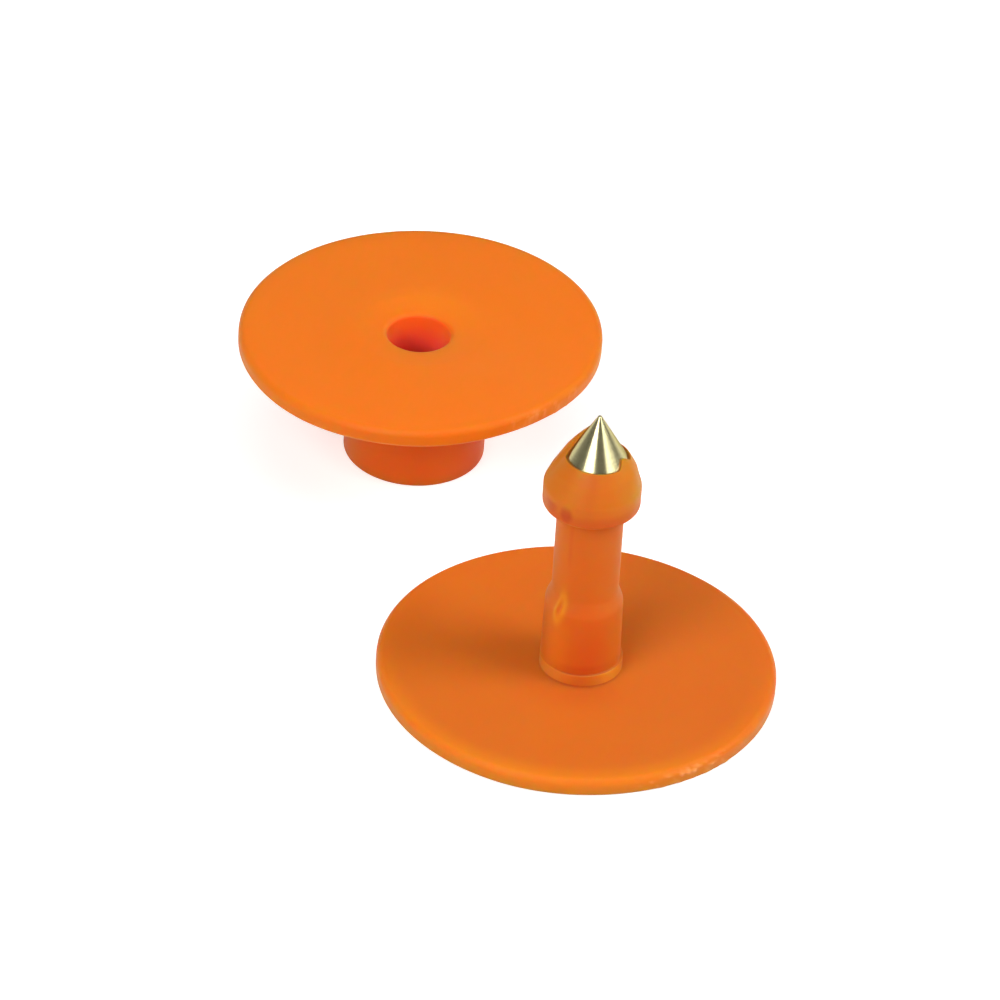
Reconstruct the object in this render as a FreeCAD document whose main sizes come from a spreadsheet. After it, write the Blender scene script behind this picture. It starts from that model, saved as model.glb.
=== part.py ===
import FreeCAD, Part
import os

import Sketcher

# Two-piece round button ear tag for livestock, laid out as its two open halves.
# Millimetres, +Z up. The origin is on the axis of the male stem, on the face that both
# halves stand on. The female half stands behind and to the left of the male, collar down.

doc = FreeCAD.newDocument("ear_tag")

# Driving dimensions. Radii are from a piece's own axis, heights from the face it stands on.
DIMENSIONS = [
    # male half: disc, stem and barbed head in one moulding
    ("male_disc_radius", 15.0, "disc"),
    ("male_disc_top", 1.4, "face of the disc on the stem side"),
    ("foot_ring_radius", 3.16, "low ring where the stem leaves the disc"),
    ("foot_ring_top", 2.4, "top of that ring"),
    ("root_radius", 2.98, "thicker root of the stem, at its foot"),
    ("root_top_radius", 2.9, "the same, at its top"),
    ("root_top", 7.8, "height where the root ends"),
    ("neck_radius", 2.5, "neck, which turns in the female hole"),
    ("neck_start", 8.3, "end of the short taper from root to neck"),
    ("head_radius", 3.63, "head, at the barb"),
    ("barb_under", 15.9, "flat shoulder of the barb, which locks behind the female lip"),
    ("crown_start", 17.8, "end of the head's straight side"),
    ("crown_top_radius", 2.4, "thin lip of the conical crown round the metal tip"),
    ("crown_top", 20.1, "height of the lip"),
    ("pin_bore_radius", 1.3, "blind bore for the applicator pin"),
    ("pin_bore_end", 15.2, "end of the bore, at the foot of the tip's shank"),
    # metal piercing tip: a turned cone on a grooved shank
    ("point_radius", 0.1, "small flat on the point"),
    ("point_top", 23.9, "height of the point"),
    ("cone_base_radius", 2.55, "cone at its base, inside the crown"),
    ("cone_base", 19.6, "height of the base"),
    ("shank_radius", 1.6, "shank held in the head"),
    ("groove_radius", 1.25, "bottom of each retaining groove"),
    ("groove_low", 15.9, "lower wall of the first groove"),
    ("groove_high", 16.6, "upper wall of the first groove"),
    ("groove_pitch", 1.25, "distance from groove to groove"),
    ("groove_count", 3, "number of grooves"),
    # female half: disc and socket collar in one moulding
    ("female_disc_radius", 14.0, "disc"),
    ("female_disc_under", 9.6, "collar side of the disc"),
    ("female_top", 11.0, "face that lies against the ear"),
    ("collar_mouth_radius", 5.45, "collar at its open end"),
    ("collar_root_radius", 5.55, "collar at the disc"),
    ("stud_hole_radius", 2.53, "hole that the neck turns in"),
    ("sink_radius", 4.8, "shallow sink in the ear face round the hole"),
    ("sink_bottom", 10.85, "height of the sink at the hole"),
    ("lip_under", 7.2, "ledge that the barb catches behind"),
    ("socket_radius", 4.0, "socket at the ledge"),
    ("socket_mouth_radius", 4.15, "socket at the collar's open end"),
    # moulded edges
    ("face_round", 0.45, "rim of a disc, on the face that shows"),
    ("back_round", 0.3, "rim of a disc, on its other face"),
    ("foot_fillet", 0.2, "fillet between foot ring and disc"),
    ("foot_ring_round", 0.12, "top edge of the foot ring"),
    ("barb_round", 0.12, "lower corner of the barb"),
    ("shoulder_fillet", 0.2, "fillet between neck and barb"),
    ("crown_round", 1.0, "shoulder between the head's side and its crown"),
    ("collar_fillet", 0.5, "fillet between collar and disc"),
    ("mouth_round", 0.25, "outer edge of the collar's open end"),
    ("entry_round", 0.3, "entry of the stud hole"),
    ("point_round", 0.07, "edge of the flat on the point"),
    # place of the female half
    ("female_left", 13.7, "from the stem axis towards -X"),
    ("female_back", 28.7, "from the stem axis towards +Y"),
]

AXIS = GROUND = None  # a corner on the turning axis, or on the face it stands on


def fill_sheet():
    sheet = doc.addObject("Spreadsheet::Sheet", "dims")
    for row, (alias, value, note) in enumerate(DIMENSIONS, start=1):
        sheet.set(f"A{row}", alias)
        sheet.set(f"B{row}", str(value))
        sheet.set(f"C{row}", note)
        sheet.setAlias(f"B{row}", alias)
    doc.recompute()
    return sheet


dims = fill_sheet()


def value_of(alias):
    return 0.0 if alias is None else float(getattr(dims, alias))


def origin_feature(body, role):
    return next(item for item in body.Origin.OriginFeatures if item.Role == role)


def bind_corner(sketch, edge, corner, name):
    """Hold the start of an edge at the radius and height that the sheet gives."""
    for alias, kind, own_axis, word in (
        (corner[0], "DistanceX", -2, "radius"),
        (corner[1], "DistanceY", -1, "height"),
    ):
        if alias is None:
            sketch.addConstraint(Sketcher.Constraint("PointOnObject", edge, 1, own_axis))
            continue
        number = sketch.addConstraint(
            Sketcher.Constraint(kind, -1, 1, edge, 1, value_of(alias))
        )
        sketch.renameConstraint(number, f"{name}_{word}")
        sketch.setExpression(f"Constraints.{name}_{word}", f"dims.{alias}")


def half_section(body, name, corners):
    """Closed half section on the body's XZ plane. Corners are (radius, height) aliases."""
    sketch = body.newObject("Sketcher::SketchObject", name)
    sketch.AttachmentSupport = [(origin_feature(body, "XZ_Plane"), "")]
    sketch.MapMode = "FlatFace"
    points = [FreeCAD.Vector(value_of(radius), value_of(height), 0) for radius, height in corners]
    for index, start in enumerate(points):
        end = points[(index + 1) % len(points)]
        sketch.addGeometry(Part.LineSegment(start, end), False)
    for index, corner in enumerate(corners):
        following = (index + 1) % len(corners)
        sketch.addConstraint(Sketcher.Constraint("Coincident", index, 2, following, 1))
        bind_corner(sketch, index, corner, f"corner_{index}")
    return sketch


def turn(body, feature_type, name, sketch):
    """Turn a half section once round the body's Z axis, to add or to remove material."""
    feature = body.newObject(f"PartDesign::{feature_type}", name)
    feature.Profile = sketch
    feature.ReferenceAxis = (origin_feature(body, "Z_Axis"), [""])
    feature.Angle = 360
    doc.recompute()
    return feature


def ring_edges(shape, rings):
    """Names of the circular edges at the given (radius, height) aliases."""
    names = []
    for radius, height in rings:
        for number, edge in enumerate(shape.Edges, start=1):
            curve = edge.Curve
            if not isinstance(curve, Part.Circle):
                continue
            same_radius = abs(curve.Radius - value_of(radius)) < 1e-4
            if same_radius and abs(curve.Center.z - value_of(height)) < 1e-4:
                names.append(f"Edge{number}")
    if len(names) != len(rings):
        raise ValueError(f"found {len(names)} of {len(rings)} ring edges")
    return names


def round_rings(body, name, rings, size_alias):
    base = body.Tip
    fillet = body.newObject("PartDesign::Fillet", name)
    fillet.Base = (base, ring_edges(base.Shape, rings))
    fillet.setExpression("Radius", f"dims.{size_alias}")
    doc.recompute()
    return fillet


def make_piercing_tip():
    """Cone that pierces the ear, on a shank with retaining grooves that the head grips."""
    body = doc.addObject("PartDesign::Body", "piercing_tip")
    section = half_section(body, "tip_section", [
        (AXIS, "pin_bore_end"),
        ("shank_radius", "pin_bore_end"),
        ("shank_radius", "cone_base"),
        ("cone_base_radius", "cone_base"),
        ("point_radius", "point_top"),
        (AXIS, "point_top"),
    ])
    turn(body, "Revolution", "cone_and_shank", section)
    round_rings(body, "rounded_point", [("point_radius", "point_top")], "point_round")

    groove_section = half_section(body, "groove_section", [
        ("groove_radius", "groove_low"),
        ("shank_radius", "groove_low"),
        ("shank_radius", "groove_high"),
        ("groove_radius", "groove_high"),
    ])
    groove = turn(body, "Groove", "first_groove", groove_section)
    grooves = body.newObject("PartDesign::LinearPattern", "grooves")
    grooves.Originals = [groove]
    grooves.Direction = (origin_feature(body, "Z_Axis"), [""])
    grooves.Occurrences = int(value_of("groove_count"))
    grooves.setExpression("Length", "dims.groove_pitch * (dims.groove_count - 1)")
    body.Tip = grooves
    doc.recompute()
    return body


def make_male_moulding():
    """Disc, hollow stem and barbed head, before the tip's seat is taken out of the head."""
    body = doc.addObject("PartDesign::Body", "male_moulding")
    section = half_section(body, "male_section", [
        ("pin_bore_radius", GROUND),
        ("male_disc_radius", GROUND),
        ("male_disc_radius", "male_disc_top"),
        ("foot_ring_radius", "male_disc_top"),
        ("foot_ring_radius", "foot_ring_top"),
        ("root_radius", "foot_ring_top"),
        ("root_top_radius", "root_top"),
        ("neck_radius", "neck_start"),
        ("neck_radius", "barb_under"),
        ("head_radius", "barb_under"),
        ("head_radius", "crown_start"),
        ("crown_top_radius", "crown_top"),
        (AXIS, "crown_top"),
        (AXIS, "pin_bore_end"),
        ("pin_bore_radius", "pin_bore_end"),
    ])
    turn(body, "Revolution", "disc_stem_and_head", section)
    round_rings(body, "face_rim", [("male_disc_radius", "male_disc_top")], "face_round")
    round_rings(body, "back_rim", [("male_disc_radius", GROUND)], "back_round")
    round_rings(body, "foot_corner", [("foot_ring_radius", "male_disc_top")], "foot_fillet")
    round_rings(body, "foot_edge", [("foot_ring_radius", "foot_ring_top")], "foot_ring_round")
    round_rings(body, "barb_corner", [("head_radius", "barb_under")], "barb_round")
    round_rings(body, "barb_root", [("neck_radius", "barb_under")], "shoulder_fillet")
    round_rings(body, "crown_shoulder", [("head_radius", "crown_start")], "crown_round")
    return body


def make_male_button(moulding, tip):
    """The moulding closes round the tip, so the tip itself shapes its seat in the head."""
    button = doc.addObject("Part::Cut", "male_button")
    button.Base = moulding
    button.Tool = tip
    doc.recompute()
    return button


def make_female_button():
    """Disc with a socket collar: a lip round the stud hole, and a wider socket behind it."""
    body = doc.addObject("PartDesign::Body", "female_button")
    section = half_section(body, "female_section", [
        ("socket_mouth_radius", GROUND),
        ("collar_mouth_radius", GROUND),
        ("collar_root_radius", "female_disc_under"),
        ("female_disc_radius", "female_disc_under"),
        ("female_disc_radius", "female_top"),
        ("sink_radius", "female_top"),
        ("stud_hole_radius", "sink_bottom"),
        ("stud_hole_radius", "lip_under"),
        ("socket_radius", "lip_under"),
    ])
    turn(body, "Revolution", "disc_and_collar", section)
    round_rings(body, "face_rim_f", [("female_disc_radius", "female_top")], "face_round")
    round_rings(body, "back_rim_f", [("female_disc_radius", "female_disc_under")], "back_round")
    round_rings(body, "collar_corner", [("collar_root_radius", "female_disc_under")], "collar_fillet")
    round_rings(body, "collar_mouth", [("collar_mouth_radius", GROUND)], "mouth_round")
    round_rings(body, "hole_entry", [("stud_hole_radius", "sink_bottom")], "entry_round")
    body.setExpression("Placement.Base.x", "-dims.female_left")
    body.setExpression("Placement.Base.y", "dims.female_back")
    doc.recompute()
    return body


def check_document(pieces):
    for item in doc.Objects:
        if "Invalid" in item.State or "Error" in item.State:
            raise RuntimeError(f"{item.Name} failed: {item.State}")
    for piece in pieces:
        shape = piece.Shape
        if shape.isNull() or not shape.isValid() or len(shape.Solids) != 1:
            raise RuntimeError(f"{piece.Label} is not one valid solid")
        print(f"{piece.Label}: {shape.Volume:.1f} mm3, faces {len(shape.Faces)}")


tip = make_piercing_tip()
male_button = make_male_button(make_male_moulding(), tip)
female_button = make_female_button()
pieces = [male_button, tip, female_button]
doc.recompute()
check_document(pieces)

os.makedirs("parts", exist_ok=True)
for piece in pieces:
    piece.Shape.exportStep(os.path.join("parts", f"{piece.Label}.step"))
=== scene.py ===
import math

import bmesh
import bpy
from mathutils import Matrix, Vector


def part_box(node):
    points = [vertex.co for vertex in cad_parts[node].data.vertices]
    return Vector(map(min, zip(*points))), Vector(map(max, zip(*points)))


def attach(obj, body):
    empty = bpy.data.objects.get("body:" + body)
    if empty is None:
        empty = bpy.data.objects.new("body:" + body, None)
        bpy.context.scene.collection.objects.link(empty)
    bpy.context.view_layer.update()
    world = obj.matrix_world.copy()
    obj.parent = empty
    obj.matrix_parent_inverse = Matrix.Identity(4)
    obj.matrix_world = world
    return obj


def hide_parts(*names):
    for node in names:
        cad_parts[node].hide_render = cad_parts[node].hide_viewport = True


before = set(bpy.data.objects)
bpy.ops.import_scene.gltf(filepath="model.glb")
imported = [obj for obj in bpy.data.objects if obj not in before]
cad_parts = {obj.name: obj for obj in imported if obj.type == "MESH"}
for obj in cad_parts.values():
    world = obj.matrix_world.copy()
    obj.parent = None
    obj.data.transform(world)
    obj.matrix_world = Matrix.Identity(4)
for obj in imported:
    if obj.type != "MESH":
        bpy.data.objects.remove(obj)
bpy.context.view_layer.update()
mm = 0.001

tipLow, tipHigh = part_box("piercing_tip")
maleLow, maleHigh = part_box("male_button")
femaleLow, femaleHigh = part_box("female_button")
femaleAxis = Vector(((femaleLow.x + femaleHigh.x) / 2, (femaleLow.y + femaleHigh.y) / 2, 0))


# tools shared by the turned pieces

# an outline is a list of (radius, height, rounding) corners in mm; returns the points of its rounded line
def roundedOutline(corners, roundSteps=7, longestStep=0.7, support=0.04):
    line = []
    for index, (radius, height, rounding) in enumerate(corners):
        here = Vector((radius, height))
        if rounding == 0:
            line.append(here)
            continue
        toBefore = (Vector(corners[index - 1][:2]) - here).normalized()
        toAfter = (Vector(corners[(index + 1) % len(corners)][:2]) - here).normalized()
        halfAngle = toBefore.angle(toAfter) / 2
        reach = rounding / math.tan(halfAngle)
        centre = here + (toBefore + toAfter).normalized() * (rounding / math.sin(halfAngle))
        first = here + toBefore * reach - centre
        turn = first.angle_signed(here + toAfter * reach - centre)
        for step in range(roundSteps + 1):
            line.append(centre + Matrix.Rotation(-turn * step / roundSteps, 2) @ first)
    points = [line[0]]
    for start, end in zip(line, line[1:]):
        span = (end - start).length
        if span > 3 * support:
            along = (end - start) / span
            points.append(start + along * support)
            steps = max(1, math.ceil((span - 2 * support) / longestStep))
            for step in range(1, steps + 1):
                points.append(start + along * (support + (span - 2 * support) * step / steps))
        points.append(end)
    return points


def link(obj):
    bpy.context.scene.collection.objects.link(obj)
    return obj


# adds one node with its plain settings and its linked or constant inputs
def addNode(tree, kind, settings=None, inputs=None):
    node = tree.nodes.new(kind)
    for key, value in (settings or {}).items():
        setattr(node, key, value)
    for key, value in (inputs or {}).items():
        socket = node.inputs[key]
        if isinstance(value, bpy.types.NodeSocket):
            tree.links.new(value, socket)
        else:
            socket.default_value = value
    return node


def mathNode(tree, operation, *values, clamp=False):
    node = addNode(tree, "ShaderNodeMath", {"operation": operation, "use_clamp": clamp})
    for index, value in enumerate(values):
        if isinstance(value, bpy.types.NodeSocket):
            tree.links.new(value, node.inputs[index])
        else:
            node.inputs[index].default_value = value
    return node.outputs[0]


# Lathe: turns the outline that it is given once round Z, lets the rim wander a little, and raises
# a ragged flash along part of the rim. Sizes are in metres, angles in radians.
def makeLatheTree():
    tree = bpy.data.node_groups.new("turnedMoulding", "GeometryNodeTree")
    face = tree.interface
    face.new_socket("Outline", in_out="INPUT", socket_type="NodeSocketGeometry")
    for name, kind, value in (
        ("Segments", "NodeSocketInt", 256),
        ("Rim Radius", "NodeSocketFloat", 0.015),
        ("Wander", "NodeSocketFloat", 0.0),
        ("Flash Height", "NodeSocketFloat", 0.0),
        ("Flash Middle", "NodeSocketFloat", -0.9),
        ("Flash Spread", "NodeSocketFloat", 0.5),
        ("Seed", "NodeSocketFloat", 1.0),
    ):
        socket = face.new_socket(name, in_out="INPUT", socket_type=kind)
        socket.default_value = value
    face.new_socket("Material", in_out="INPUT", socket_type="NodeSocketMaterial")
    face.new_socket("Mesh", in_out="OUTPUT", socket_type="NodeSocketGeometry")
    given = tree.nodes.new("NodeGroupInput").outputs
    outlineSize = addNode(tree, "GeometryNodeAttributeDomainSize", {"component": "MESH"},
                          {"Geometry": given["Outline"]}).outputs["Point Count"]
    columns = mathNode(tree, "ADD", given["Segments"], 1.0)
    grid = addNode(tree, "GeometryNodeMeshGrid", None,
                   {"Size X": 1.0, "Size Y": 1.0, "Vertices X": columns, "Vertices Y": outlineSize})
    index = tree.nodes.new("GeometryNodeInputIndex").outputs[0]
    column = mathNode(tree, "FLOOR", mathNode(tree, "DIVIDE", mathNode(tree, "ADD", index, 0.5), outlineSize))
    row = mathNode(tree, "SUBTRACT", index, mathNode(tree, "MULTIPLY", column, outlineSize))
    position = tree.nodes.new("GeometryNodeInputPosition").outputs[0]
    onOutline = addNode(tree, "GeometryNodeSampleIndex",
                        {"data_type": "FLOAT_VECTOR", "domain": "POINT"},
                        {"Geometry": given["Outline"], "Value": position, "Index": row}).outputs["Value"]
    angle = mathNode(tree, "MULTIPLY", mathNode(tree, "DIVIDE", column, given["Segments"]), 2 * math.pi)
    turned = addNode(tree, "ShaderNodeVectorRotate", {"rotation_type": "Z_AXIS"},
                     {"Vector": onOutline, "Angle": angle}).outputs[0]
    lathed = addNode(tree, "GeometryNodeSetPosition", None,
                     {"Geometry": grid.outputs["Mesh"], "Position": turned}).outputs[0]
    closed = addNode(tree, "GeometryNodeMergeByDistance", None,
                     {"Geometry": lathed, "Distance": 1e-7}).outputs[0]

    # how near to the rim a point is: 0 inside two thirds of the radius, 1 at the rim
    place = addNode(tree, "ShaderNodeSeparateXYZ", None, {"Vector": position}).outputs
    reach = mathNode(tree, "SQRT", mathNode(tree, "ADD", mathNode(tree, "MULTIPLY", place[0], place[0]),
                                            mathNode(tree, "MULTIPLY", place[1], place[1])))
    share = mathNode(tree, "DIVIDE", reach, given["Rim Radius"])
    rimShare = mathNode(tree, "MULTIPLY", mathNode(tree, "SUBTRACT", share, 0.66), 1 / 0.34, clamp=True)
    outward = addNode(tree, "ShaderNodeVectorMath", {"operation": "NORMALIZE"},
                      {0: addNode(tree, "ShaderNodeCombineXYZ", None,
                                  {"X": place[0], "Y": place[1]}).outputs[0]}).outputs[0]
    slow = addNode(tree, "ShaderNodeTexNoise", {"noise_dimensions": "4D"},
                   {"Vector": outward, "W": given["Seed"], "Scale": 1.1, "Detail": 1.0}).outputs[0]
    bothWays = mathNode(tree, "MULTIPLY", mathNode(tree, "SUBTRACT", slow, 0.5), 2.0)
    wander = mathNode(tree, "MULTIPLY", bothWays, mathNode(tree, "MULTIPLY", rimShare, given["Wander"]))

    # flash: ragged teeth of thin plastic left by the mould's parting line
    bearing = mathNode(tree, "ARCTAN2", place[1], place[0])
    away = mathNode(tree, "ABSOLUTE", mathNode(tree, "SUBTRACT", bearing, given["Flash Middle"]))
    awayShare = mathNode(tree, "DIVIDE", away, given["Flash Spread"])
    stretch = mathNode(tree, "SUBTRACT", 1.0, awayShare, clamp=True)
    ragged = addNode(tree, "ShaderNodeTexNoise", {"noise_dimensions": "4D"},
                     {"Vector": position, "W": given["Seed"], "Scale": 1500.0, "Detail": 4.0,
                      "Roughness": 0.7}).outputs[0]
    tooth = mathNode(tree, "MULTIPLY", mathNode(tree, "SUBTRACT", ragged, 0.5), 5.0, clamp=True)
    edgeOnly = mathNode(tree, "MULTIPLY", mathNode(tree, "SUBTRACT", share, 0.985), 1 / 0.015, clamp=True)
    flash = mathNode(tree, "MULTIPLY", mathNode(tree, "MULTIPLY", tooth, stretch), edgeOnly)
    marked = addNode(tree, "GeometryNodeStoreNamedAttribute", {"data_type": "FLOAT", "domain": "POINT"},
                     {"Geometry": closed, "Name": "flash", "Value": flash}).outputs[0]
    push = mathNode(tree, "ADD", wander, mathNode(tree, "MULTIPLY", flash, given["Flash Height"]))
    offset = addNode(tree, "ShaderNodeVectorMath", {"operation": "SCALE"},
                     {0: outward, "Scale": push}).outputs[0]
    shaped = addNode(tree, "GeometryNodeSetPosition", None,
                     {"Geometry": marked, "Offset": offset}).outputs[0]
    smooth = addNode(tree, "GeometryNodeSetShadeSmooth", None, {"Geometry": shaped}).outputs[0]
    real = addNode(tree, "GeometryNodeRealizeInstances", None, {"Geometry": smooth}).outputs[0]
    finished = addNode(tree, "GeometryNodeSetMaterial", None,
                       {"Geometry": real, "Material": given["Material"]}).outputs[0]
    out = tree.nodes.new("NodeGroupOutput")
    tree.links.new(finished, out.inputs["Mesh"])
    return tree


latheTree = makeLatheTree()


# runs the lathe on an outline in mm and keeps the result as a plain mesh about its own axis
def turnPiece(name, outline, material, values):
    base = bpy.data.meshes.new(name + "Outline")
    base.from_pydata([(point.x * mm, 0, point.y * mm) for point in outline],
                     [(i, i + 1) for i in range(len(outline) - 1)], [])
    blank = link(bpy.data.objects.new(name + "Blank", base))
    modifier = blank.modifiers.new("lathe", "NODES")
    modifier.node_group = latheTree
    sockets = {item.name: item.identifier for item in latheTree.interface.items_tree
               if item.in_out == "INPUT"}
    for key, value in {**values, "Material": material}.items():
        modifier[sockets[key]] = value
    depsgraph = bpy.context.evaluated_depsgraph_get()
    mesh = bpy.data.meshes.new_from_object(blank.evaluated_get(depsgraph))
    mesh.name = name
    bpy.data.objects.remove(blank)
    shell = bmesh.new()
    shell.from_mesh(mesh)
    bmesh.ops.remove_doubles(shell, verts=shell.verts, dist=1e-7)
    bmesh.ops.recalc_face_normals(shell, faces=shell.faces)
    shell.to_mesh(mesh)
    shell.free()
    print(name, "turned:", len(mesh.polygons), "faces")
    return mesh


def easeBetween(low, high, value):
    share = min(1.0, max(0.0, (value - low) / (high - low)))
    return share * share * (3 - 2 * share)


# keeps a tone for each point, which the plastic's pigment is multiplied by; it holds painted shade and
# painted highlights as well as the plastic's own shades
def setTones(mesh, tones):
    layer = mesh.attributes.new("tone", "FLOAT_COLOR", "POINT")
    for item, tone in zip(layer.data, tones):
        item.color = (*tone, 1)


def blendTone(tone, share, other):
    return tuple(a * (1 + share * (b - 1)) for a, b in zip(tone, other))


# bearings are in degrees, counterclockwise from +X: 180 is the left, 270 the front
def turnFrom(middle, bearing):
    return (bearing - middle + 180) % 360 - 180


# how near a bearing is to a middle one: 1 there, 0 at the spread and past it
def nearBearing(bearing, middle, spread):
    return 1 - easeBetween(0, spread, abs(turnFrom(middle, bearing)))


def makePiece(name, mesh, node, place=Vector((0, 0, 0))):
    mesh.transform(Matrix.Translation(place))
    piece = link(bpy.data.objects.new(name, mesh))
    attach(piece, "root")
    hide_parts(node)


# finishes

def newGroup(name, inputs, outputs):
    group = bpy.data.node_groups.new(name, "ShaderNodeTree")
    for socketName, kind, value in inputs:
        socket = group.interface.new_socket(socketName, in_out="INPUT", socket_type=kind)
        socket.default_value = value
    for socketName, kind in outputs:
        group.interface.new_socket(socketName, in_out="OUTPUT", socket_type=kind)
    return group, group.nodes.new("NodeGroupInput").outputs, group.nodes.new("NodeGroupOutput").inputs


def mixColour(tree, blend, factor, first, second):
    node = addNode(tree, "ShaderNodeMix", {"data_type": "RGBA", "blend_type": blend})
    for index, value in ((0, factor), (6, first), (7, second)):
        if isinstance(value, bpy.types.NodeSocket):
            tree.links.new(value, node.inputs[index])
        else:
            node.inputs[index].default_value = value
    return node.outputs[2]


def noiseNode(tree, coordinates, scale, detail=2.0, roughness=0.5):
    node = addNode(tree, "ShaderNodeTexNoise", None, {"Vector": coordinates, "Detail": detail,
                                                      "Roughness": roughness})
    if isinstance(scale, bpy.types.NodeSocket):
        tree.links.new(scale, node.inputs["Scale"])
    else:
        node.inputs["Scale"].default_value = scale
    return node.outputs[0]


# injection-moulded polyurethane: cloudy pigment, fine grain, pale where thin flash stands out
def makeMouldedPlasticGroup():
    group, given, out = newGroup(
        "mouldedPlastic",
        [("Pigment", "NodeSocketColor", (0.87, 0.19, 0.017, 1)),
         ("Cloud", "NodeSocketColor", (0.80, 0.14, 0.015, 1)),
         ("Cloud Scale", "NodeSocketFloat", 120.0),
         ("Cloud Amount", "NodeSocketFloat", 0.5),
         ("Flash Colour", "NodeSocketColor", (0.95, 0.45, 0.16, 1)),
         ("Roughness", "NodeSocketFloat", 0.5),
         ("Grain Scale", "NodeSocketFloat", 5200.0),
         ("Grain Height", "NodeSocketFloat", 0.5)],
        [("Color", "NodeSocketColor"), ("Roughness", "NodeSocketFloat"), ("Height", "NodeSocketFloat")])
    place = group.nodes.new("ShaderNodeTexCoord").outputs["Object"]
    clouds = noiseNode(group, place, given["Cloud Scale"], 4.0, 0.55)
    cloudShare = mathNode(group, "MULTIPLY", clouds, given["Cloud Amount"])
    pigment = mixColour(group, "MIX", cloudShare, given["Pigment"], given["Cloud"])
    tone = addNode(group, "ShaderNodeAttribute", {"attribute_name": "tone"}).outputs["Color"]
    toned = mixColour(group, "MULTIPLY", 1.0, pigment, tone)
    flash = addNode(group, "ShaderNodeAttribute", {"attribute_name": "flash"}).outputs["Fac"]
    group.links.new(mixColour(group, "MIX", flash, toned, given["Flash Colour"]), out["Color"])
    patches = noiseNode(group, place, 420.0, 3.0, 0.6)
    rough = mathNode(group, "ADD", given["Roughness"],
                     mathNode(group, "MULTIPLY", mathNode(group, "SUBTRACT", patches, 0.5), 0.16))
    group.links.new(rough, out["Roughness"])
    grain = noiseNode(group, place, given["Grain Scale"], 2.0, 0.6)
    waves = noiseNode(group, place, 700.0, 2.0, 0.5)
    height = mathNode(group, "ADD", mathNode(group, "MULTIPLY", grain, given["Grain Height"]), waves)
    group.links.new(height, out["Height"])
    return group


mouldedPlastic = makeMouldedPlasticGroup()


def makePlastic(name, values):
    material = bpy.data.materials.new(name)
    material.use_nodes = True
    tree = material.node_tree
    shader = tree.nodes["Principled BSDF"]
    plastic = addNode(tree, "ShaderNodeGroup", {"node_tree": mouldedPlastic}, values["group"])
    tree.links.new(plastic.outputs["Color"], shader.inputs["Base Color"])
    tree.links.new(plastic.outputs["Roughness"], shader.inputs["Roughness"])
    bump = addNode(tree, "ShaderNodeBump", None, {"Strength": values["bump"], "Distance": 0.00002,
                                                  "Height": plastic.outputs["Height"]})
    tree.links.new(bump.outputs[0], shader.inputs["Normal"])
    shader.subsurface_method = "RANDOM_WALK"
    shader.inputs["Subsurface Weight"].default_value = values["subsurface"]
    shader.inputs["Subsurface Radius"].default_value = values["reach"]
    shader.inputs["Subsurface Scale"].default_value = mm
    shader.inputs["Subsurface Anisotropy"].default_value = 0.5
    shader.inputs["IOR"].default_value = 1.5
    shader.inputs["Specular IOR Level"].default_value = 0.13
    return material


malePlastic = makePlastic("malePlastic", {
    "group": {"Pigment": (0.67, 0.168, 0.016, 1), "Cloud": (0.625, 0.130, 0.016, 1)},
    "subsurface": 1.0, "reach": (2.6, 0.7, 0.15), "bump": 0.3,
})
femalePlastic = makePlastic("femalePlastic", {
    "group": {"Pigment": (0.80, 0.200, 0.013, 1), "Cloud": (0.77, 0.185, 0.013, 1)},
    "subsurface": 1.0, "reach": (2.4, 0.6, 0.12), "bump": 0.25,
})


# turned and plated tip: bright pale metal with fine tool rings
def makeTipMetal():
    material = bpy.data.materials.new("turnedTipMetal")
    material.use_nodes = True
    tree = material.node_tree
    shader = tree.nodes["Principled BSDF"]
    place = tree.nodes.new("ShaderNodeTexCoord").outputs["Object"]
    squeezed = addNode(tree, "ShaderNodeMapping", None,
                       {"Vector": place, "Scale": (0.0, 0.0, 1.0)}).outputs[0]
    rings = noiseNode(tree, squeezed, 9000.0, 3.0, 0.7)
    tint = mixColour(tree, "MIX", rings, (0.52, 0.45, 0.20, 1), (0.86, 0.80, 0.48, 1))
    tree.links.new(tint, shader.inputs["Base Color"])
    shader.inputs["Metallic"].default_value = 1.0
    shader.inputs["Specular Tint"].default_value = (0.40, 0.36, 0.24, 1)
    shader.inputs["Anisotropic"].default_value = 0.75
    shader.inputs["Anisotropic Rotation"].default_value = 0.25  # tool rings smear gloss up the cone
    rough = mathNode(tree, "ADD", 0.18, mathNode(tree, "MULTIPLY", rings, 0.14))
    tree.links.new(rough, shader.inputs["Roughness"])
    bump = addNode(tree, "ShaderNodeBump", None, {"Strength": 0.5, "Distance": 0.000006, "Height": rings})
    tree.links.new(bump.outputs[0], shader.inputs["Normal"])
    return material


tipMetal = makeTipMetal()
print("finishes made")


# female half: disc with a dished hole, on an open collar

femaleValues = {
    "top": femaleHigh.z / mm,
    "discRadius": (femaleHigh.x - femaleLow.x) / 2 / mm,
    "discUnder": 9.6,
    "sinkRadius": 4.8,
    "sinkBottom": 10.85,
    "holeRadius": 2.44,
    "holeShift": (-0.12, -0.25),  # the hole is a little off the disc's middle
    "lipUnder": 7.2,
    "socketRadius": 4.0,
    "socketMouthRadius": 4.15,
    "collarMouthRadius": 5.45,
    "collarRootRadius": 5.55,
    "discWarp": 0.4,
    "frontRightLift": 0.25,
}

# each tone multiplies the pigment's red, green and blue
femaleTones = {
    "holeWallShade": (1.21, 0.85, 2.0),
    "socketWallShade": (1.0, 0.55, 2.6),
    "collar": (1.0, 0.78, 1.0),
    "collarRightShadow": (0.95, 0.66, 0.7),
    "rim": (0.88, 1.02, 0.8),
    "dishBackHighlight": (1.04, 1.14, 1.1),
}
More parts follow.
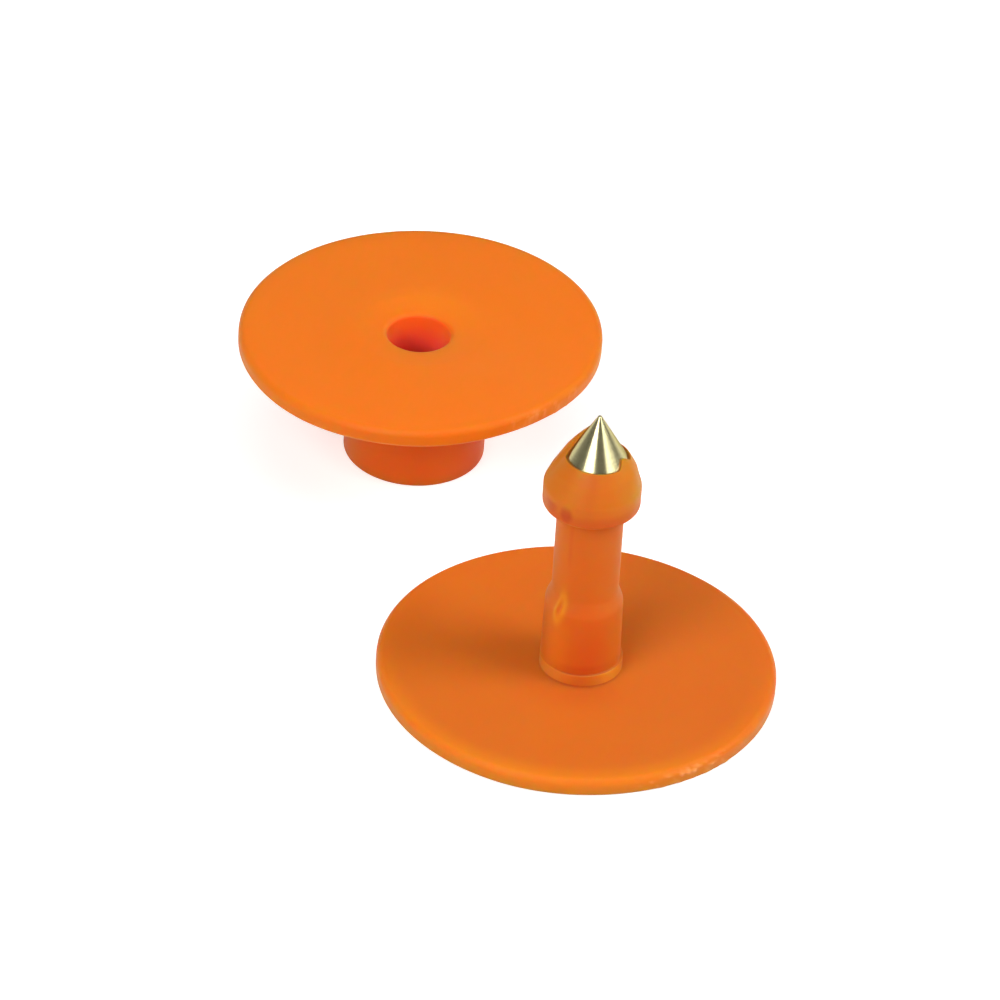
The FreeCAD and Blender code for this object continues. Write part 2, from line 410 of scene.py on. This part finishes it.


# painted shade: the collar under the disc looks redder and darker than the thin disc, in the disc's shade and
# lit by red light off its underside, and darker still at the right in the disc's painted shadow; the walls of
# the hole and socket carry painted shade; the dish is paler at the back with a painted highlight where its
# far slope catches the light
def femaleToneAt(reach, bearing, z, v):
    tones = femaleTones
    # painted shade: the walls of the hole and the socket get darker and redder deeper down, where little
    # light reaches
    if reach < v["socketMouthRadius"] + 0.1 and z < v["sinkBottom"] - 0.15:
        return blendTone(tones["holeWallShade"], 1 - easeBetween(7.8, 10.4, z), tones["socketWallShade"])
    # painted shade: the collar under the disc is darker and redder, with red light bounced off the disc's
    # underside
    tone = blendTone((1, 1, 1), 1 - easeBetween(7.5, v["discUnder"], z), tones["collar"])
    # painted shadow: the disc shades the collar's right side
    collarRightShadow = nearBearing(bearing, 335, 40) * (z < v["discUnder"])
    tone = blendTone(tone, collarRightShadow, tones["collarRightShadow"])
    rim = easeBetween(v["discRadius"] - 0.8, v["discRadius"], reach)
    tone = blendTone(tone, rim, tones["rim"])
    # painted highlight: the dish's far slope, at the back, is paler where it catches the light
    dish = 1 - easeBetween(0.3, 2.2, abs(reach - 4.2))
    dishBackHighlight = dish * nearBearing(bearing, 80, 100) * (z > v["lipUnder"])
    return blendTone(tone, dishBackHighlight, tones["dishBackHighlight"])


# the thin disc is warped: it lifts to the right, most at the front right, and drops to the left
def workFemale(mesh, v):
    tones = []
    for vertex in mesh.vertices:
        x, y, z = vertex.co / mm
        reach = math.hypot(x, y)
        bearing = math.degrees(math.atan2(y, x))
        tones.append(femaleToneAt(reach, bearing, z, v))
        if z > v["lipUnder"]:
            near = 1 - easeBetween(3.4, 7.0, reach)
            corner = v["frontRightLift"] * nearBearing(bearing, 310, 45) * reach
            z += (v["discWarp"] * x + corner) / v["discRadius"] * easeBetween(2.0, 9.0, reach)
            x += v["holeShift"][0] * near
            y += v["holeShift"][1] * near
        vertex.co = Vector((x, y, z)) * mm
    setTones(mesh, tones)


def makeFemale(v):
    outline = roundedOutline([
        (v["socketRadius"], v["lipUnder"], 0),
        (v["socketMouthRadius"], 0, 0.12),
        (v["collarMouthRadius"], 0, 0.25),
        (v["collarRootRadius"], v["discUnder"], 0.5),
        (v["discRadius"], v["discUnder"], 0.32),
        (v["discRadius"], v["top"], 0.5),
        (v["sinkRadius"], v["top"], 1.2),
        (v["holeRadius"], v["sinkBottom"], 0.4),
        (v["holeRadius"], v["lipUnder"], 0.1),
        (v["socketRadius"], v["lipUnder"], 0),
    ])
    mesh = turnPiece("femaleButton", outline, femalePlastic, {
        "Segments": 512, "Rim Radius": v["discRadius"] * mm, "Wander": 0.10 * mm,
        "Flash Height": 0.16 * mm, "Flash Middle": -0.75, "Flash Spread": 0.35, "Seed": 4.0,
    })
    workFemale(mesh, v)
    makePiece("female_moulding", mesh, "female_button", femaleAxis)


makeFemale(femaleValues)
print("female half done")


# male half: disc, hollow stem and barbed head

maleValues = {
    "discRadius": (maleHigh.x - maleLow.x) / 2 / mm,
    "discTop": 1.4,
    "discShift": (-0.2, 0.23),  # the disc sits a little off the stem's axis
    "footRingRadius": 3.1,
    "footRingShift": 0.1,
    "footRingTop": 2.4,
    "rootRadius": 3.0,
    "rootTopRadius": 2.92,
    "rootTop": 7.5,
    "neckRadius": 2.5,
    "neckStart": 8.6,
    "headRadius": 3.65,
    "barbUnder": 16.05,
    "crownStart": 17.95,
    "crownMid": 19.35,
    "crownMidRadius": 3.05,
    "crownTopRadius": 2.44,
    "tipShift": 0.23,  # the metal sits a little to the right of the stem's axis
    "skinStart": 18.2,
    "skinClimb": 2.2,  # thin skin of plastic that ran up the back left of the cone
    "skinBulge": 0.2,
    "skinThinning": 0.7,
    "crownTop": maleHigh.z / mm + 0.2,
    "boreRadius": 1.3,
    "boreEnd": tipLow.z / mm,
}

# each tone multiplies the pigment's red, green and blue
maleTones = {
    "nearFootThickAndShaded": (0.93, 0.84, 1.0),
    "discEdgeThinAndLit": (1.10, 1.42, 0.9),
    "footRingHighlightRight": (1.26, 2.1, 2.6),
    "footRingHighlightLeft": (1.22, 1.65, 2.4),
    "root": (1.0, 0.80, 1.0),
    "rootLeftShade": (0.97, 0.86, 1.0),
    "rootFrontLeftLight": (1.06, 1.10, 1.0),
    "neckLine": (0.98, 0.88, 1.0),
    "grooveShade": (0.45, 0.55, 0.8),
    "head": (0.93, 1.16, 0.95),
    "headPaleStripe": (1.0, 1.10, 1.0),
    "headDarkStripe": (0.97, 0.90, 1.0),
    "headHighlightRight": (1.0, 1.22, 1.1),
    "barb": (0.88, 0.82, 1.0),
    "barbPaleEdge": (1.12, 1.55, 1.4),
    "barbDarkEdge": (0.85, 0.70, 1.0),
    "barbMark": (0.82, 0.58, 0.8),
    "barbFaintMark": (0.85, 0.62, 0.9),
    "blister": (1.10, 1.65, 1.3),
}

tipValues = {
    "apex": tipHigh.z / mm,
    "pointRadius": 0.12,
    "coneBase": 19.6,
    "coneBaseRadius": 2.61,
}


def coneRadiusAt(height):
    v = tipValues
    slope = (v["coneBaseRadius"] - v["pointRadius"]) / (v["apex"] - v["coneBase"])
    return v["coneBaseRadius"] - (height - v["coneBase"]) * slope


# how far the plastic ran up the cone at a bearing
def skinClimbAt(bearing, v):
    back = easeBetween(50, 100, bearing) * (1 - easeBetween(164, 189, bearing))
    right = 0.24 * nearBearing(bearing, 335, 24)
    return v["skinClimb"] * (back + right)


# how far the metal and the crown round it lean off the stem's axis at a height
def leanAt(height, v):
    return easeBetween(17.8, 20.2, height) * (v["tipShift"] - 0.016 * max(0.0, height - 20.2))


# tone of the disc: painted shade in front of the foot, partly the deeper colour of thick plastic there; paler
# along the front edge, partly where the edge is thin and partly a painted highlight where the rounded edge
# catches the light
def discToneAt(reach, bearing):
    # painted shade in front of the foot, partly the deeper colour of thick plastic
    shade = 1 - easeBetween(3.2, 7.0, reach)
    tone = blendTone((1, 1, 1), shade * nearBearing(bearing, 272, 75), maleTones["nearFootThickAndShaded"])
    # partly painted highlight: the front edge catches the light on its rounded top, and is also paler where
    # it is thin
    edge = easeBetween(12.9, 14.7, reach) * nearBearing(bearing, 262, 130)
    return blendTone(tone, edge, maleTones["discEdgeThinAndLit"])


# the root's thick core looks redder: partly its own colour, partly painted shade at the front right and the
# left edge; the front left is lighter with painted light that passes through the stem
def rootToneAt(tone, bearing, z):
    core = easeBetween(2.3, 3.0, z) * (1 - easeBetween(4.6, 9.2, z))
    tone = blendTone(tone, core * nearBearing(bearing, 284, 42), maleTones["root"])
    tone = blendTone(tone, core * nearBearing(bearing, 195, 24), maleTones["rootLeftShade"])
    return blendTone(tone, core * nearBearing(bearing, 233, 25), maleTones["rootFrontLeftLight"])


# the head over the metal looks amber, with stripes, a painted highlight on its right, painted shade along its
# lower edge round the barb, a barb edge paler at the front left and darker at the front right, and two dark
# marks
def headToneAt(tone, reach, bearing, z, v):
    head = easeBetween(16.3, 18.2, z)
    tone = blendTone(tone, head, maleTones["head"])
    tone = blendTone(tone, head * nearBearing(bearing, 243, 16), maleTones["headPaleStripe"])
    tone = blendTone(tone, head * nearBearing(bearing, 267, 14), maleTones["headDarkStripe"])
    # painted highlight on the right of the head
    tone = blendTone(tone, head * nearBearing(bearing, 345, 60), maleTones["headHighlightRight"])
    aboveBarb = z - v["barbUnder"]
    # painted shade under and along the head's lower edge
    tone = blendTone(tone, 1 - easeBetween(0.5, 1.3, abs(aboveBarb - 0.1)), maleTones["barb"])
    edge = (1 - easeBetween(0.04, 0.14, abs(aboveBarb - 0.12))) * (reach > 3)
    tone = blendTone(tone, edge * nearBearing(bearing, 252, 15), maleTones["barbPaleEdge"])
    tone = blendTone(tone, edge * nearBearing(bearing, 291, 22), maleTones["barbDarkEdge"])
    mark = math.hypot(turnFrom(240, bearing) / 11, (aboveBarb - 1.0) / 0.85)
    tone = blendTone(tone, 1 - easeBetween(0.4, 1.0, mark), maleTones["barbMark"])
    mark = math.hypot(turnFrom(216, bearing) / 16, (aboveBarb - 1.15) / 0.5)
    return blendTone(tone, 1 - easeBetween(0.2, 1.0, mark), maleTones["barbFaintMark"])


def maleToneAt(reach, bearing, z, v):
    tone = (1, 1, 1)
    if z < 3:
        tone = discToneAt(reach, bearing)
        if reach > v["footRingRadius"] + 0.1:
            return tone
    # painted highlight: the foot ring is paler where it catches the light, most at the front right and front
    # left
    if v["discTop"] + 0.15 < z < v["footRingTop"] + 0.02:
        tone = blendTone(tone, nearBearing(bearing, 315, 52), maleTones["footRingHighlightRight"])
        return blendTone(tone, nearBearing(bearing, 235, 62), maleTones["footRingHighlightLeft"])
    if z < v["neckStart"] + 1:
        return rootToneAt(tone, bearing, z)
    if z < v["barbUnder"] - 0.5:
        line = nearBearing(bearing, 239, 7) * easeBetween(11.0, 12.5, z)
        return blendTone(tone, line, maleTones["neckLine"])
    # painted shade in the groove where the crown's top meets the metal
    if z > v["crownTop"] - 0.07 and reach < v["crownTopRadius"] - 0.03:
        tone = maleTones["grooveShade"]
    return headToneAt(tone, reach, bearing, z, v)


# a blister on the left of the root: how far out it stands, and how strong the painted highlight is in the
# pale ring round it
def blisterAt(reach, bearing, z):
    if reach < 2 or not 4.5 < z < 11:
        return 0.0, 0.0
    sideways = math.radians(turnFrom(231, bearing)) * reach
    up = z - 7.9 - sideways * 0.7
    width = 0.52 - 0.14 * easeBetween(-1.0, 1.0, up)
    size = math.hypot(sideways / width, up / 1.2)
    lump = 0.2 * math.exp(-size ** 2 * 1.4) - 0.2 * math.exp(-(size / 0.4) ** 2)
    return lump, math.exp(-((size - 0.8) / 0.42) ** 2)


# where a point of the crown goes when the plastic is let run up the cone: its new reach and height
def skinPointAt(reach, bearing, z, v):
    climb = skinClimbAt(bearing, v)
    edge = coneRadiusAt(v["crownTop"])
    if reach < edge:  # the flat top that the metal covers
        return reach / edge * coneRadiusAt(v["crownTop"] + climb), z + climb * reach / edge
    up = (z - v["skinStart"]) / (v["crownTop"] - v["skinStart"])
    newZ = z + climb * up
    amount = min(1.0, climb)
    thick = (reach - coneRadiusAt(z)) * (1 - v["skinThinning"] * amount * up ** 6)
    bulge = v["skinBulge"] * amount * math.sin(math.pi * up ** 0.8)
    return coneRadiusAt(newZ) + (thick + bulge), newZ


# moves each point of the turned moulding in mm: disc off centre, skin on the cone, blister on the root
def workMale(mesh, v):
    tones = []
    for vertex in mesh.vertices:
        x, y, z = vertex.co / mm
        reach = math.hypot(x, y)
        bearing = math.degrees(math.atan2(y, x)) % 360
        tone = maleToneAt(reach, bearing, z, v)
        # the pale ring round the blister is a painted highlight
        lump, pale = blisterAt(reach, bearing, z)
        tones.append(blendTone(tone, pale, maleTones["blister"]))
        if lump != 0:
            x, y = x * (1 + lump / reach), y * (1 + lump / reach)
        if z > v["skinStart"] and reach > 0:
            newReach, newZ = skinPointAt(reach, bearing, z, v)
            x, y, z = x * newReach / reach, y * newReach / reach, newZ
        rim = easeBetween(3.4, 9.0, reach) if z < 3 else 0.0
        x += v["discShift"][0] * rim + leanAt(z, v)
        if v["discTop"] - 0.1 < z < v["footRingTop"] + 0.06 and 2.5 < reach < v["footRingRadius"] + 0.2:
            x += v["footRingShift"]
        y += v["discShift"][1] * rim
        vertex.co = Vector((x, y, max(z, 0.0))) * mm
    setTones(mesh, tones)


def makeMale(v):
    outline = roundedOutline([
        (0, v["crownTop"] - 0.05, 0),
        (coneRadiusAt(v["crownTop"]) - 0.02, v["crownTop"] - 0.05, 0),
        (v["crownTopRadius"] - 0.08, v["crownTop"], 0),
        (v["crownTopRadius"], v["crownTop"], 0.05),
        (v["crownMidRadius"], v["crownMid"], 1.0),
        (v["headRadius"], v["crownStart"], 1.0),
        (v["headRadius"], v["barbUnder"], 0.42),
        (v["neckRadius"], v["barbUnder"], 0.2),
        (v["neckRadius"], v["barbUnder"] - 0.8, 0),
        (v["neckRadius"], v["barbUnder"] - 1.1, 0),
        (v["neckRadius"], v["neckStart"], 1.4),
        (v["rootTopRadius"], v["rootTop"], 1.2),
        (v["rootRadius"], v["footRingTop"] + 0.05, 0.1),
        (v["footRingRadius"], v["footRingTop"], 0.12),
        (v["footRingRadius"], v["discTop"], 0.12),
        (v["discRadius"], v["discTop"], 0.5),
        (v["discRadius"], 0, 0.3),
        (v["boreRadius"], 0, 0.1),
        (v["boreRadius"], v["boreEnd"], 0),
        (0, v["boreEnd"], 0),
    ], longestStep=0.4)
    mesh = turnPiece("maleButton", outline, malePlastic, {
        "Segments": 336, "Rim Radius": v["discRadius"] * mm, "Wander": 0.12 * mm,
        "Flash Height": 0.2 * mm, "Flash Middle": -0.9, "Flash Spread": 0.42, "Seed": 9.0,
    })
    workMale(mesh, v)
    makePiece("male_moulding", mesh, "male_button")


makeMale(maleValues)
print("male half done")


# metal tip: a turned cone, leaning with the crown that holds it

def makeTip(v):
    outline = roundedOutline([
        (0, v["coneBase"], 0),
        (v["coneBaseRadius"], v["coneBase"], 0.03),
        (v["pointRadius"], v["apex"], 0.09),
        (0, v["apex"], 0),
    ], longestStep=0.12)
    mesh = turnPiece("piercingTip", outline, tipMetal, {
        "Segments": 192, "Rim Radius": 1.0, "Wander": 0.0, "Flash Height": 0.0, "Seed": 1.0,
    })
    for vertex in mesh.vertices:
        vertex.co.x += leanAt(vertex.co.z / mm, maleValues) * mm
    makePiece("tip_cone", mesh, "piercing_tip")


makeTip(tipValues)
print("tip done")


# stage: floor, lamps, world and camera

stageValues = {
    "aim": (-6.74 * mm, 22.3 * mm, 0),
    "distance": 0.7,
    "elevation": 35.25,
    "roll": 3.9,
    "lens": 327.8,
    "floorSize": 3.0,
    "floorGrey": 0.8,
    "floorGlow": 0.55,
    "fill": 0.05,
    "cardBearing": 50,
    "cardStrength": 2.2,
}

# bearing 0 is the camera's side and 90 the right; height is the angle above the table
softboxes = [
    {"name": "rightSoftbox", "bearing": 82, "height": 42, "distance": 0.5,
     "width": 0.24, "tall": 0.22, "power": 1.55},
    {"name": "frontLeftSoftbox", "bearing": -33, "height": 40, "distance": 0.55,
     "width": 0.32, "tall": 0.26, "power": 2.2},
    {"name": "overheadSoftbox", "bearing": 0, "height": 85, "distance": 0.55,
     "width": 0.4, "tall": 0.4, "power": 0.85},
]


# 1 for what the camera, a gloss or a clear piece sees, 0 for the light that falls on things
def seenDirectly(tree):
    rays = tree.nodes.new("ShaderNodeLightPath").outputs
    shiny = mathNode(tree, "MAXIMUM", rays["Is Glossy Ray"], rays["Is Transmission Ray"])
    return mathNode(tree, "MAXIMUM", rays["Is Camera Ray"], shiny)


def makeFloor(v):
    size = v["floorSize"]
    corners = [(-size, -size, 0), (size, -size, 0), (size, size, 0), (-size, size, 0)]
    mesh = bpy.data.meshes.new("floor")
    mesh.from_pydata(corners, [], [(0, 1, 2, 3)])
    floor = link(bpy.data.objects.new("floor", mesh))
    material = bpy.data.materials.new("whiteTable")
    material.use_nodes = True
    tree = material.node_tree
    shader = tree.nodes["Principled BSDF"]
    shader.inputs["Base Color"].default_value = (v["floorGrey"], v["floorGrey"], v["floorGrey"], 1)
    shader.inputs["Roughness"].default_value = 0.9
    shader.inputs["Specular IOR Level"].default_value = 0.1
    glowStrength = mathNode(tree, "MULTIPLY", seenDirectly(tree), v["floorGlow"])
    glow = addNode(tree, "ShaderNodeEmission", None, {"Strength": glowStrength})
    lit = tree.nodes.new("ShaderNodeAddShader")
    tree.links.new(shader.outputs[0], lit.inputs[0])
    tree.links.new(glow.outputs[0], lit.inputs[1])
    # from underneath, the table lets the view through
    clear = tree.nodes.new("ShaderNodeBsdfTransparent")
    below = tree.nodes.new("ShaderNodeNewGeometry").outputs["Backfacing"]
    choose = addNode(tree, "ShaderNodeMixShader", None, {0: below})
    tree.links.new(lit.outputs[0], choose.inputs[1])
    tree.links.new(clear.outputs[0], choose.inputs[2])
    tree.links.new(choose.outputs[0], tree.nodes["Material Output"].inputs["Surface"])
    mesh.materials.append(material)


def addSoftbox(v):
    data = bpy.data.lights.new(v["name"], "AREA")
    data.shape = "RECTANGLE"
    data.size, data.size_y = v["width"], v["tall"]
    data.energy = v["power"]
    lamp = link(bpy.data.objects.new(v["name"], data))
    a, e = math.radians(v["bearing"]), math.radians(v["height"])
    direction = Vector((math.sin(a) * math.cos(e), -math.cos(a) * math.cos(e), math.sin(e)))
    lamp.location = direction * v["distance"]
    lamp.rotation_euler = direction.to_track_quat("Z", "Y").to_euler()


def makeWorld(v):
    world = bpy.data.worlds.new("studio")
    bpy.context.scene.world = world
    world.use_nodes = True
    tree = world.node_tree
    background = tree.nodes["Background"]
    rays = tree.nodes.new("ShaderNodeLightPath").outputs
    direction = tree.nodes.new("ShaderNodeTexCoord").outputs["Generated"]
    parts = addNode(tree, "ShaderNodeSeparateXYZ", None, {"Vector": direction}).outputs
    # the white backdrop stands behind the table; the ceiling, the sides and the room in front are dim.
    # It fades out with height over 0.23 to 0.57 of straight up, and towards the front over 0.67 to 0.33
    low = mathNode(tree, "MULTIPLY_ADD", parts[2], -3.0, 1.7, clamp=True)
    behind = mathNode(tree, "MULTIPLY_ADD", parts[1], 3.0, -1.0, clamp=True)
    mirrored = mathNode(tree, "MULTIPLY_ADD", mathNode(tree, "MULTIPLY", low, behind), 0.9, 0.1)
    # a tall white card at the front right, which the metal mirrors as a bright line; it's seen where
    # the direction's share towards it is over 0.963, and fully over 0.997
    flat = addNode(tree, "ShaderNodeVectorMath", {"operation": "MULTIPLY"},
                   {0: direction, 1: (1, 1, 0)}).outputs[0]
    ahead = addNode(tree, "ShaderNodeVectorMath", {"operation": "NORMALIZE"}, {0: flat}).outputs[0]
    a = math.radians(v["cardBearing"])
    toCard = addNode(tree, "ShaderNodeVectorMath", {"operation": "DOT_PRODUCT"},
                     {0: ahead, 1: (math.sin(a), -math.cos(a), 0)}).outputs["Value"]
    card = mathNode(tree, "MULTIPLY_ADD", toCard, 30.0, -28.9, clamp=True)
    mirrored = mathNode(tree, "MULTIPLY_ADD", card, v["cardStrength"], mirrored)
    shown = addNode(tree, "ShaderNodeMix", {"data_type": "FLOAT"},
                    {0: rays["Is Camera Ray"], 2: mirrored, 3: 1.0}).outputs[0]
    strength = addNode(tree, "ShaderNodeMix", {"data_type": "FLOAT"},
                       {0: seenDirectly(tree), 2: v["fill"], 3: shown}).outputs[0]
    tree.links.new(strength, background.inputs["Strength"])
    background.inputs["Color"].default_value = (1, 1, 1, 1)


def makeCamera(v):
    data = bpy.data.cameras.new("camera")
    data.lens = v["lens"]
    data.sensor_width = 36
    data.clip_start, data.clip_end = 0.01, 50
    camera = link(bpy.data.objects.new("camera", data))
    e, roll = math.radians(v["elevation"]), math.radians(v["roll"])
    forward = Vector((0, math.cos(e), -math.sin(e)))
    right = Vector((1, 0, 0))
    up = right.cross(forward)
    turnedRight = right * math.cos(roll) + up * math.sin(roll)
    turnedUp = up * math.cos(roll) - right * math.sin(roll)
    basis = Matrix((turnedRight, turnedUp, -forward)).transposed().to_4x4()
    camera.matrix_world = Matrix.Translation(Vector(v["aim"]) - forward * v["distance"]) @ basis
    bpy.context.scene.camera = camera


makeFloor(stageValues)
for softbox in softboxes:
    addSoftbox(softbox)
makeWorld(stageValues)
makeCamera(stageValues)
bpy.context.scene.view_settings.view_transform = "Standard"
print("stage done")
